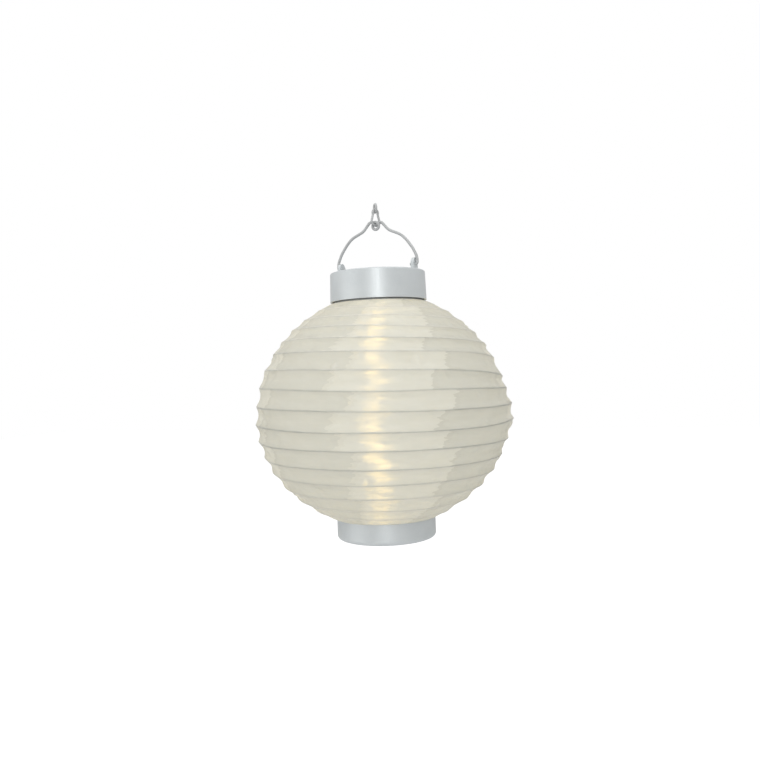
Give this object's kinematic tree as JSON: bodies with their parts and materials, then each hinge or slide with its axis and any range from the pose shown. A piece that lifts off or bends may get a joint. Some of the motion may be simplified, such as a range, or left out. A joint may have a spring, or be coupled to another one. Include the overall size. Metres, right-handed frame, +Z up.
{
  "type": "accordion lantern",
  "caption": "Round accordion lantern of pleated translucent cloth over a spiral rib, with a cap at each end, a solar lamp unit in the top cap, and a wire bail with a hanging link.",
  "frame": {"origin": "hang point: the inner top of the small ring, where a hook or string bears", "axes": "+Z up along the hanging lantern's axis, +X along the bail's pivot line"},
  "size_m": [0.2, 0.2, 0.262],
  "materials": {
    "pearl_plastic": "pearl satin",
    "white_wire": "satin",
    "ivory_nylon": "slightly glossy translucent woven nylon",
    "rib_steel": "bare spring wire",
    "white_plastic": "moulded",
    "grey_plastic": "moulded",
    "black_plastic": "moulded",
    "solar_cell": "epoxy over dark cells",
    "board_green": "solder mask",
    "contact_steel": "nickel plated",
    "screw_steel": "zinc plated",
    "battery_wrap": "shrink wrap",
    "led_lens": "warm clear epoxy",
    "lead_red": "insulation",
    "lead_black": "insulation",
    "inductor_green": "dipped"
  },
  "bodies": {
    "ring": {"top_ring": "white_wire"},
    "link": {"hanging_link": "white_wire"},
    "bail": {"bail_handle": "white_wire"},
    "solar_unit": {"top_cap": "pearl_plastic", "solar_panel": "solar_cell", "circuit_board": "board_green", "driver_chip": "black_plastic", "inductor": "inductor_green", "battery": "battery_wrap", "battery_spring_contact": "contact_steel", "battery_plate_contact": "contact_steel", "switch_body": "contact_steel", "led": "led_lens", "led_legs": "contact_steel", "base_cover": "white_plastic", "base_screws": "screw_steel", "battery_door": "white_plastic", "battery_door_screw": "screw_steel", "solar_lead_red": "lead_red", "solar_lead_black": "lead_black", "battery_lead_red": "lead_red", "battery_lead_black": "lead_black"},
    "switch": {"switch_slider": "black_plastic"},
    "shade": {"upper_ring": "grey_plastic", "rib_spiral": "rib_steel", "fabric_shade": "ivory_nylon"},
    "bottom": {"bottom_cap": "pearl_plastic", "lower_ring": "grey_plastic"}
  },
  "joints": [
    {"name": "link_swing", "type": "hinge", "parent": "ring", "child": "link", "pos_m": [0, 0, -0.0057], "axis": [-0.6018, 0.7986, 0], "range_deg": [-36, 36]},
    {"name": "bail_swing", "type": "hinge", "parent": "link", "child": "bail", "pos_m": [0, 0, -0.016], "axis": [0.4226, 0.9063, 0], "range_deg": [-25, 25]},
    {"name": "bail_fold", "type": "hinge", "parent": "bail", "child": "solar_unit", "pos_m": [0, 0, -0.0485], "axis": [1, 0, 0], "range_deg": [-75, 75]},
    {"name": "bayonet_twist", "type": "hinge", "parent": "solar_unit", "child": "shade", "pos_m": [0, 0, -0.077], "axis": [0, 0, 1], "range_deg": [0, 20]},
    {"name": "accordion_fold", "type": "slide", "parent": "shade", "child": "bottom", "axis": [0, 0, 1], "range_m": [0, 0.13328], "deforming": ["fabric_shade", "rib_spiral"]},
    {"name": "switch_slide", "type": "slide", "parent": "solar_unit", "child": "switch", "axis": [1, 0, 0], "range_m": [0, 0.002]}
  ]
}
